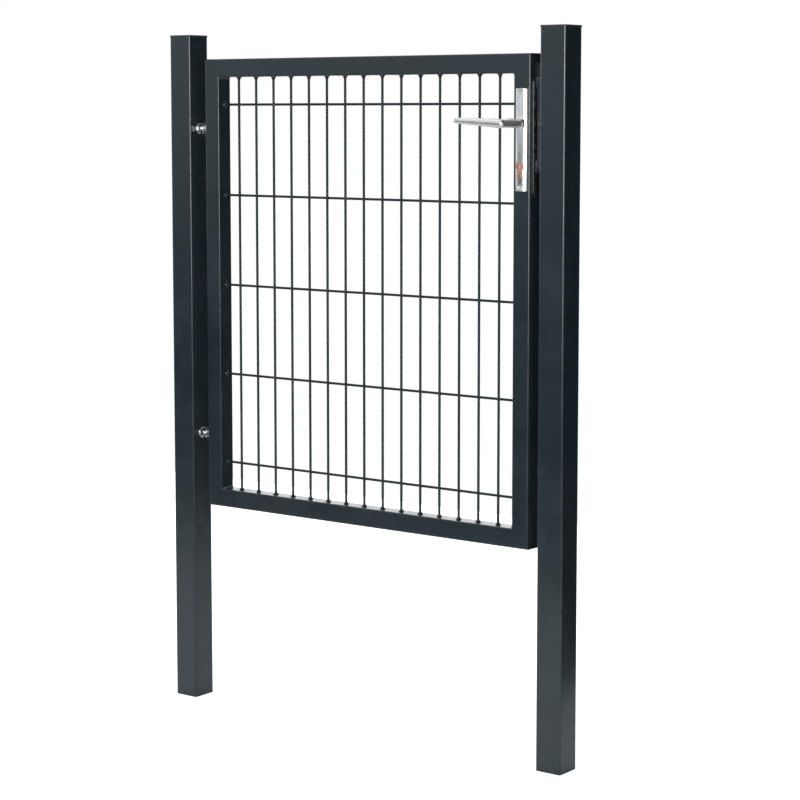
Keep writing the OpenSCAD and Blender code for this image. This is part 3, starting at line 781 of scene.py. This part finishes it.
def grip_rings():
    """The grip along -X: a domed heel, a taper and a rounded tip."""
    profile = [(0.8, -9), (3.2, -8.5), (5.2, -7.5), (6.9, -6), (8, -4.3), (8.6, -2.4)]
    profile += [(8.9, -0.6), (GRIP_RADIUS, 1.5), (GRIP_RADIUS, TAPER_START)]
    for k in range(1, TAPER_STEPS + 1):
        t = k / TAPER_STEPS
        radius = GRIP_RADIUS - (GRIP_RADIUS - TIP_RADIUS) * t
        profile.append((radius, TAPER_START + (TAPER_END - TAPER_START) * t))
    for a in (0.3, 0.6, 0.85, 1.08, 1.28, 1.45):
        rounding = (LEVER_LENGTH - TAPER_END) * math.sin(a)
        profile.append((TIP_RADIUS * math.cos(a), TAPER_END + rounding))
    return [[(-x, grip_y + y, z) for y, z, _ in circle_ring(r, 0, 48)] for r, x in profile]


# %% Levers
for name, side in (("front", 1), ("rear", -1)):
    mesh = bmesh.new()
    skin(mesh, neck_rings(), place=at_handle(side))
    skin(mesh, grip_rings(), place=at_handle(side))
    finish_piece(
        name + "_turned_lever",
        mesh,
        "handle",
        "satin_aluminium",
        [name + "_lever"],
        sharp=28,
        material=LEVER,
    )

# %% [markdown]
# ## Cutting and rounding
#
# Countersinks, bores and keyways are cut, as a drill or a broach cuts them.
# A boolean modifier does that exactly. Its result is kept as plain geometry
# and the cutters are thrown away, so that nothing hidden is left behind.

# %% Cutting helpers
def as_object(mesh, name="cutter"):
    """A temporary object that holds a bmesh."""
    bmesh.ops.recalc_face_normals(mesh, faces=mesh.faces)
    data = bpy.data.meshes.new(name)
    mesh.to_mesh(data)
    mesh.free()
    holder = bpy.data.objects.new(name, data)
    bpy.context.scene.collection.objects.link(holder)
    return holder


def cut(mesh, cutters):
    """Cuts closed shapes out of a bmesh, one after another."""
    body = as_object(mesh, "blank")
    tools = [as_object(cutter) for cutter in cutters]
    for tool in tools:
        step = body.modifiers.new("cut", "BOOLEAN")
        step.operation, step.solver, step.object = "DIFFERENCE", "EXACT", tool
    bpy.context.view_layer.update()
    evaluated = body.evaluated_get(bpy.context.evaluated_depsgraph_get())
    result = bmesh.new()
    result.from_mesh(evaluated.to_mesh())
    evaluated.to_mesh_clear()
    for used in [body] + tools:
        data = used.data
        bpy.data.objects.remove(used)
        bpy.data.meshes.remove(data)
    return result


def round_edges(mesh, radius, sharp=28, segments=2):
    """Rounds each edge of a closed bmesh that turns by more than an angle."""
    bmesh.ops.remove_doubles(mesh, verts=mesh.verts, dist=1e-6)
    bmesh.ops.dissolve_limit(
        mesh, angle_limit=math.radians(0.5), verts=mesh.verts, edges=mesh.edges
    )
    edges = [
        edge
        for edge in mesh.edges
        if len(edge.link_faces) == 2 and edge.calc_face_angle() > math.radians(sharp)
    ]
    bmesh.ops.bevel(
        mesh,
        geom=edges,
        offset=radius * MM,
        segments=segments,
        profile=0.5,
        affect="EDGES",
        clamp_overlap=True,
    )
    return mesh


def rod_along_y(radius, x, z, y0, y1):
    """A plain round cutter or bar along Y."""
    mesh = bmesh.new()
    skin(mesh, rings_along_y([(radius, y0), (radius, y1)], x, z))
    return mesh


# %% [markdown]
# ## Lock plates
#
# A lock plate is rolled from aluminium with bevelled long sides, then cut to
# length, drilled and rounded at its corners. A collar round the neck stands
# on it. The bevels catch the light, so they stay crisp, a little narrower than
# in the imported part, and only the edges are softened.

# %% Lock plates
PLATE_BACK, PLATE_SIDE, PLATE_FACE = -20, -23, -27  # depths of its three levels
PLATE_HALF, PLATE_HALF_FLAT = 13.5, 8
PLATE_CORNER = 2.2
PLATE_SOFTENING = 0.45
BEVEL_SLOPE = 0.73
SCREW_INSET = 8.5
# Radius and depth of a countersink, from just outside the plate inwards
COUNTERSINK = [(4.75, -27.4), (4.6, -27.0), (2.6, -24.6), (2.6, -19)]
# Radius and depth of the collar, from its bore over its rim to its foot
COLLAR = [(8.6, -26.6), (8.6, -32.6), (8.8, -32.8), (9.3, -32.2), (10.1, -30.8)]
COLLAR += [(10.8, -29), (11.1, -27.9), (11.6, -27.2), (12, -27.02), (12, -26.6)]

plate_low, plate_high = span("front_plate")
screw_zs = (plate_low[2] + SCREW_INSET, plate_high[2] - SCREW_INSET)


def plate_outline(inset, z):
    """The plate's bevelled section at a height, drawn in at its corners."""
    half = PLATE_HALF - inset
    side = PLATE_SIDE - BEVEL_SLOPE * inset
    return [
        (lever_x - half, PLATE_BACK, z),
        (lever_x + half, PLATE_BACK, z),
        (lever_x + half, side, z),
        (lever_x + PLATE_HALF_FLAT, PLATE_FACE, z),
        (lever_x - PLATE_HALF_FLAT, PLATE_FACE, z),
        (lever_x - half, side, z),
    ]


def plate_blank():
    """The bevelled strip, with its corners cut back in a small arc."""
    mesh = bmesh.new()
    arc = [
        (PLATE_CORNER * (1 - math.sin(a)), PLATE_CORNER * (1 - math.cos(a)))
        for a in (0, 0.4, 0.8, 1.2, 1.57)
    ]
    rings = [plate_outline(inset, plate_low[2] + rise) for inset, rise in arc]
    rings += [plate_outline(inset, plate_high[2] - rise) for inset, rise in reversed(arc)]
    skin(mesh, rings)
    return mesh


def countersink(z):
    """The cutter for one countersunk screw hole."""
    mesh = bmesh.new()
    skin(mesh, rings_along_y(COUNTERSINK, lever_x, z, 32))
    return mesh


for name, side in (("front", 1), ("rear", -1)):
    mesh = cut(plate_blank(), [countersink(z) for z in screw_zs])
    round_edges(mesh, PLATE_SOFTENING, sharp=20)
    skin(mesh, rings_along_y(COLLAR, lever_x, lever_z), loop=True)
    for vert in mesh.verts:
        vert.co.y *= side
    finish_piece(
        name + "_bevelled_plate",
        mesh,
        "leaf",
        "satin_aluminium",
        [name + "_plate"],
        sharp=24,
    )

# %% [markdown]
# The plate screws are countersunk, with a hexagon socket. The head sits a
# touch below the plate's face, which draws a dark ring round it.

# %% Plate screws
SCREW_SIDES = 36
socket = hexagon(3.2)
# Radius and depth of a screw, from the floor of its socket over its head to
# the end of its shank
PLATE_SCREW = [(socket, 1.9), (socket, 0.45), (lambda a: socket(a) + 0.25, 0.25)]
PLATE_SCREW += [(3.6, 0.25), (4.15, 0.4), (4.35, 0.65), (2.45, 2.6), (2.45, 26.4)]

mesh = bmesh.new()
for side in (1, -1):
    for z in screw_zs:
        rings = [circle_ring(r, depth, SCREW_SIDES) for r, depth in PLATE_SCREW]
        skin(mesh, rings, place=lambda p: (lever_x + p[0], side * (p[2] + PLATE_FACE), z + p[1]))
finish_piece(
    "countersunk_plate_screws",
    mesh,
    "leaf",
    "stainless_steel",
    ["plate_screws"],
    material=SCREW,
)

# %% [markdown]
# ## Key cylinder
#
# The cylinder's body is one extruded bar: a round top for the plug and a
# narrow tab for its pins. The plug turns in a bore and has a broached keyway
# with ribs on alternate sides, so that only its own blank of key goes in.

# %% Key cylinder
BARREL_RADIUS, TAB_RADIUS, TAB_DROP = 8.5, 5, 19.5
CYLINDER_HALF = 29.5  # from the leaf's middle to the cylinder's face
BORE_RADIUS, BORE_DEPTH = 6.9, 12.2
PLUG_RADIUS, PLUG_DEPTH, PLUG_RECESS = 6.45, 12, 0.6
KEYWAY_HALF, KEYWAY_DEPTH = 1.25, 9
# The middle line of the keyway, from top to bottom
KEYWAY = [(0, 4.5), (0.9, 3.4), (0.9, 2.4), (-0.7, 1.5), (-0.7, 0.2)]
KEYWAY += [(0.8, -0.8), (0.8, -2.2), (-0.1, -3.0), (-0.1, -4.5)]
OVERRUN = 1  # of a cutter past the face that it cuts

cylinder_z = cylinder_high[2] - BARREL_RADIUS


def cylinder_outline():
    """Round above and a narrow tab with a round foot below."""
    start = math.acos(TAB_RADIUS / BARREL_RADIUS)
    points = []
    for k in range(41):
        a = -start + (math.pi + 2 * start) * k / 40
        points.append((BARREL_RADIUS * math.cos(a), BARREL_RADIUS * math.sin(a)))
    for k in range(17):
        a = math.pi + math.pi * k / 16
        points.append((TAB_RADIUS * math.cos(a), -TAB_DROP + TAB_RADIUS * math.sin(a)))
    return points


def prism_along_y(points, y0, y1):
    """A bar with an outline drawn round the key cylinder's axis."""
    mesh = bmesh.new()
    skin(mesh, [[(lever_x + x, y, cylinder_z + z) for x, z in points] for y in (y0, y1)])
    return mesh


def stub_along_y(radius, side, depth, reach):
    """A round bar from a depth behind one face of the cylinder to its reach."""
    return rod_along_y(
        radius,
        lever_x,
        cylinder_z,
        side * (CYLINDER_HALF - depth),
        side * (CYLINDER_HALF + reach),
    )


body = prism_along_y(cylinder_outline(), -CYLINDER_HALF, CYLINDER_HALF)
bores = [stub_along_y(BORE_RADIUS, side, BORE_DEPTH, OVERRUN) for side in (-1, 1)]
finish_piece(
    "key_cylinder_body",
    round_edges(cut(body, bores), 0.35),
    "leaf",
    "brass",
    ["lock_cylinder"],
    sharp=24,
)


def keyway(side):
    """A wavy slot along Y, open at the plug's face."""
    right = [(x + KEYWAY_HALF, z) for x, z in KEYWAY]
    left = [(x - KEYWAY_HALF, z) for x, z in reversed(KEYWAY)]
    inner, outer = CYLINDER_HALF - KEYWAY_DEPTH, CYLINDER_HALF + OVERRUN
    return prism_along_y(right + left, side * inner, side * outer)


plug = bmesh.new()
for side in (-1, 1):
    stub = stub_along_y(PLUG_RADIUS, side, PLUG_DEPTH, -PLUG_RECESS)
    stub = round_edges(cut(stub, [keyway(side)]), 0.3)
    part = bpy.data.meshes.new("part")
    stub.to_mesh(part)
    stub.free()
    plug.from_mesh(part)
    bpy.data.meshes.remove(part)
finish_piece("keyed_plug", plug, "leaf", "brass", ["lock_plug"], sharp=24)

# %% [markdown]
# ## Softened edges
#
# Folded, sawn and stamped parts never have knife edges: tools and coating
# leave a small radius, and that radius catches the thin line of light that
# makes metal look real. The keeper, the forend, both bolts, the lock case,
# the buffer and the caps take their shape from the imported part, and get
# that radius here.

# %% Softened edges
def softened(name, node, radius, body, slot):
    """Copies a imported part's shape into a new piece with rounded edges."""
    mesh = bmesh.new()
    mesh.from_mesh(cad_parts[node].data)
    round_edges(mesh, radius, segments=3)
    return finish_piece(name, mesh, body, slot, [node], sharp=32)


softened("folded_keeper", "keeper", 0.8, "posts", "anthracite_powder_coat")
# The forend and the bolt noses take the stainless that is painted dark. That dark grey is
# painted shade for the gap by the latch post.
softened("stamped_forend", "lock_forend", 0.35, "leaf", "stainless_steel")
softened("latch_nose", "latch_bolt", 0.5, "leaf", "stainless_steel")
softened("dead_bolt_nose", "dead_bolt", 0.5, "leaf", "stainless_steel")
softened("plated_lock_case", "lock_case", 0.4, "leaf", "zinc_plated_steel")
softened("rubber_buffer", "stop_buffer", 0.9, "posts", "black_rubber")
softened("hinge_post_moulded_cap", "hinge_post_cap", 0.8, "posts", "black_plastic")
softened("latch_post_moulded_cap", "latch_post_cap", 0.8, "posts", "black_plastic")

# %% [markdown]
# The keeper's screws are round-headed, with a hexagon socket. The head is a
# low dome: rings on a circular arc.

# %% Keeper screws
HEAD_RADIUS, HEAD_HEIGHT = 5, 3
SCREW_SHANK, SCREW_LENGTH = 2.5, 14.8
# Radius and depth of a screw, from the floor of its socket to its shank's end
KEEPER_SCREW = [(hexagon(3), 1.6), (hexagon(3), 0.1), (1.95, 0.02)]
KEEPER_SCREW += [
    (HEAD_RADIUS * math.sin(a), HEAD_HEIGHT * (1 - math.cos(a))) for a in (0.6, 0.9, 1.2, 1.45)
]
KEEPER_SCREW += [(HEAD_RADIUS, HEAD_HEIGHT), (SCREW_SHANK, HEAD_HEIGHT)]
KEEPER_SCREW += [(SCREW_SHANK, SCREW_LENGTH)]

screw_low, screw_high = span("keeper_screws")
mesh = bmesh.new()
for z in (screw_low[2] + HEAD_RADIUS, screw_high[2] - HEAD_RADIUS):
    rings = [circle_ring(r, depth, SCREW_SIDES) for r, depth in KEEPER_SCREW]
    skin(mesh, rings, place=along_x(screw_low[0], 0, z))
finish_piece("round_head_keeper_screws", mesh, "posts", "zinc_plated_steel", ["keeper_screws"])

# %% [markdown]
# ## Weld beads
#
# The frame is welded at its mitres and the lugs are welded to the stile. A
# hand-laid bead is a row of overlapping puddles, like coins pushed over. A
# ring that swells and shrinks along a line draws them, half sunk in the
# steel. On the faces the beads are ground flush, so only the inside corners
# and the outer sides of the lugs show them.

# %% Weld beads
TUBE_SIDE = 40
RIPPLE = 1.6  # distance from one puddle to the next
CORNER_BEAD, LUG_BEAD = (34, 4.4), (15, 1.5)  # length and radius
BEAD_SIDES = 12


def lay_bead(mesh, bead, x, z):
    """A rippled bead of weld along Y, closed almost to a point at both ends."""
    length, radius = bead
    steps = max(8, int(length / (RIPPLE / 4)))
    rings = []
    for k in range(steps + 1):
        t = k / steps
        ends = min(1, math.sin(math.pi * t) * 4) ** 0.5 if 0 < k < steps else 0.12
        puddle = 0.1 * abs(math.sin(math.pi * t * length / RIPPLE))
        swell = 1 + puddle + 0.05 * math.sin(9 * t + length)
        rings.append(circle_ring(radius * ends * swell, length * t, BEAD_SIDES))
    skin(mesh, rings, place=lambda p: (x + p[0], p[2] - length / 2, z + p[1]))


mesh = bmesh.new()
for x in (leaf_low[0] + TUBE_SIDE, leaf_high[0] - TUBE_SIDE):
    for z in (leaf_low[2] + TUBE_SIDE, leaf_high[2] - TUBE_SIDE):
        lay_bead(mesh, CORNER_BEAD, x, z)
for hinge_z in hinge_zs.values():
    for rise in (-LUG_HIGH, LUG_HIGH):
        lay_bead(mesh, LUG_BEAD, leaf_low[0], hinge_z + rise)
finish_piece("weld_beads", mesh, "leaf", "anthracite_powder_coat")

# %% [markdown]
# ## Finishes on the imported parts
#
# The posts, the rails, the stiles and the spindle already have their real
# shape, with round corners that shade smoothly. They only need their
# finishes, which go straight into their material slots.

# %% Assign the finishes
for node_name, node_object in sorted(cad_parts.items()):
    for material_slot in node_object.material_slots:
        material_slot.material = FINISHES[material_slot.material.name.split(".")[0]]
print("finished", len(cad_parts), "packed nodes")

# %% [markdown]
# ## Studio
#
# Dark glossy coating is mostly a mirror of the room, so the room is built
# with care, in metres. A white sheet lies under the gate and rises behind it,
# but ends a little in front of it: that is why the feet of the posts look
# lighter than their middles. Beyond the sheet lies a dim floor, which the
# camera sees as white through the Is Camera Ray output. The sheet keeps the
# gate's shadow. A black flag on the right, which the camera doesn't see,
# keeps the side of the latch post dark.

# %% Paper and sheets
def paper(name, hex_colour, camera_lift, glow):
    """Matt paper that the camera sees lifted towards white."""
    material, tree, shader, place = new_material(name)
    fibres = noise(tree, place, 2.5, 2)
    colour = add_node(
        tree,
        "ShaderNodeMix",
        {"data_type": "RGBA", "blend_type": "MULTIPLY", 0: 0.02, MIX_FIRST: linear(hex_colour)},
        {MIX_SECOND: fibres},
    ).outputs[MIX_RESULT]
    tree.links.new(colour, shader.inputs["Base Color"])
    shader.inputs["Roughness"].default_value = 0.9
    shader.inputs["Specular IOR Level"].default_value = 0.1
    shader.inputs["Emission Color"].default_value = (1, 1, 1, 1)
    path = add_node(tree, "ShaderNodeLightPath")
    lift = add_node(
        tree,
        "ShaderNodeMath",
        {"operation": "MULTIPLY_ADD", 1: camera_lift, 2: glow},
        {0: path.outputs["Is Camera Ray"]},
    )
    tree.links.new(lift.outputs["Value"], shader.inputs["Emission Strength"])
    return material


def sheet(name, corners, material):
    """A flat four-cornered piece of the studio."""
    mesh = bmesh.new()
    mesh.faces.new([mesh.verts.new(corner) for corner in corners])
    bmesh.ops.subdivide_edges(mesh, edges=mesh.edges[:], cuts=3, use_grid_fill=True)
    data = bpy.data.meshes.new(name)
    mesh.to_mesh(data)
    mesh.free()
    piece = bpy.data.objects.new(name, data)
    bpy.context.scene.collection.objects.link(piece)
    piece.data.materials.append(material)
    return piece


def level(x0, x1, y0, y1, z):
    """The corners of a level sheet."""
    return [(x0, y0, z), (x1, y0, z), (x1, y1, z), (x0, y1, z)]


def upright(x0, x1, y0, y1, top):
    """The corners of a sheet that stands on the floor."""
    return [(x0, y0, 0), (x1, y1, 0), (x1, y1, top), (x0, y0, top)]


# %% Floor, backdrop and flag
LEFT, FRONT, BACK = -5.0, -1.5, 2.3
FLOOR_RIGHT, BACKDROP_RIGHT, BACKDROP_TOP = 4.5, 0.8, 3.4
FLAG_X, FLAG_FRONT, FLAG_TOP = 1.35, 0.2, 3
ROOM = 30  # half the side of the dim floor
SHEET_Z, ROOM_Z = -0.0005, -0.002  # both floors lie just under the posts

white_paper = paper("white_paper", "#f0f0f0", 0.6, 0.0)
sheet("studio_floor", level(LEFT, FLOOR_RIGHT, FRONT, BACK, SHEET_Z), white_paper)
far_floor = paper("dim_room_floor", "#303030", 1.0, 0.0)
sheet("room_floor", level(-ROOM, ROOM, -ROOM, ROOM, ROOM_Z), far_floor)
wall_paper = paper("lit_backdrop", "#f0f0f0", 0.0, 0.85)
backdrop = sheet("backdrop", upright(LEFT, BACKDROP_RIGHT, BACK, BACK, BACKDROP_TOP), wall_paper)
backdrop.visible_camera = False
velvet = paper("black_velvet", "#050505", 0.0, 0.0)
flag = sheet("black_flag", upright(FLAG_X, FLAG_X, FLAG_FRONT, BACK, FLAG_TOP), velvet)
flag.visible_camera = flag.visible_shadow = flag.visible_diffuse = False
print("studio sheet from Y", FRONT, "to", BACK)

# %% [markdown]
# The world is white for the camera. For everything else it is the room: grey
# on the left, where the light comes from, and dark on the right.

# %% World
LEFT_GLOW, RIGHT_GLOW = 0.88, 0.04

world = bpy.data.worlds.new("studio")
bpy.context.scene.world = world
world.use_nodes = True
tree = world.node_tree
tree.nodes.clear()
output = add_node(tree, "ShaderNodeOutputWorld")
path = add_node(tree, "ShaderNodeLightPath")
direction = add_node(
    tree,
    "ShaderNodeSeparateXYZ",
    {},
    {0: add_node(tree, "ShaderNodeTexCoord").outputs["Generated"]},
)
side = remap(tree, direction.outputs["X"], (-0.5, 0.5), (LEFT_GLOW, RIGHT_GLOW))
seen = add_node(
    tree,
    "ShaderNodeMath",
    {"operation": "MAXIMUM"},
    {0: path.outputs["Is Camera Ray"], 1: path.outputs["Is Transmission Ray"]},
)
room = add_node(tree, "ShaderNodeBackground", {"Color": linear("#f2fbff")}, {"Strength": side})
white = add_node(tree, "ShaderNodeBackground", {"Color": (1, 1, 1, 1)})
both = add_node(
    tree,
    "ShaderNodeMixShader",
    {},
    {0: seen.outputs["Value"], 1: room.outputs[0], 2: white.outputs[0]},
)
tree.links.new(both.outputs[0], output.inputs["Surface"])
print("made world", world.name)

# %% [markdown]
# Four softboxes light the gate. The front one is the key: it draws the lines
# along the round edges and the shine on the lock. The others only keep the
# sides, the left post and the top faces from going black.

# %% Lamps
def soft_lamp(name, place, aim, size, power):
    """A rectangular soft lamp at a place, turned towards its aim, in watts."""
    lamp = bpy.data.lights.new(name, "AREA")
    lamp.shape, lamp.size, lamp.size_y = "RECTANGLE", size[0], size[1]
    lamp.energy = power
    lamp_object = bpy.data.objects.new(name, lamp)
    bpy.context.scene.collection.objects.link(lamp_object)
    lamp_object.location = place
    towards = [a - b for a, b in zip(aim, place)]
    flat = math.hypot(towards[0], towards[1])
    lamp_object.rotation_euler = (
        math.atan2(flat, -towards[2]),
        0,
        math.atan2(towards[1], towards[0]) - math.pi / 2,
    )
    print("lamp", name, "at", place)
    return lamp_object


GATE_MIDDLE = (0.45, 0, 0.9)
soft_lamp("front_softbox", (2.6, -4.6, 1.9), GATE_MIDDLE, (1.4, 2.6), 270)
soft_lamp("right_softbox", (5.2, -3.2, 1.8), GATE_MIDDLE, (2.4, 2.6), 95)
soft_lamp("left_softbox", (-4.4, -1.2, 2.0), GATE_MIDDLE, (1.6, 2.6), 60)
soft_lamp("top_softbox", (-0.4, -0.4, 4.6), (0.45, 0, 0.8), (6, 4), 50)

# %% [markdown]
# ## Close the scene

# %% Finish
bpy.context.scene.view_settings.view_transform = "Standard"
bpy.context.view_layer.update()
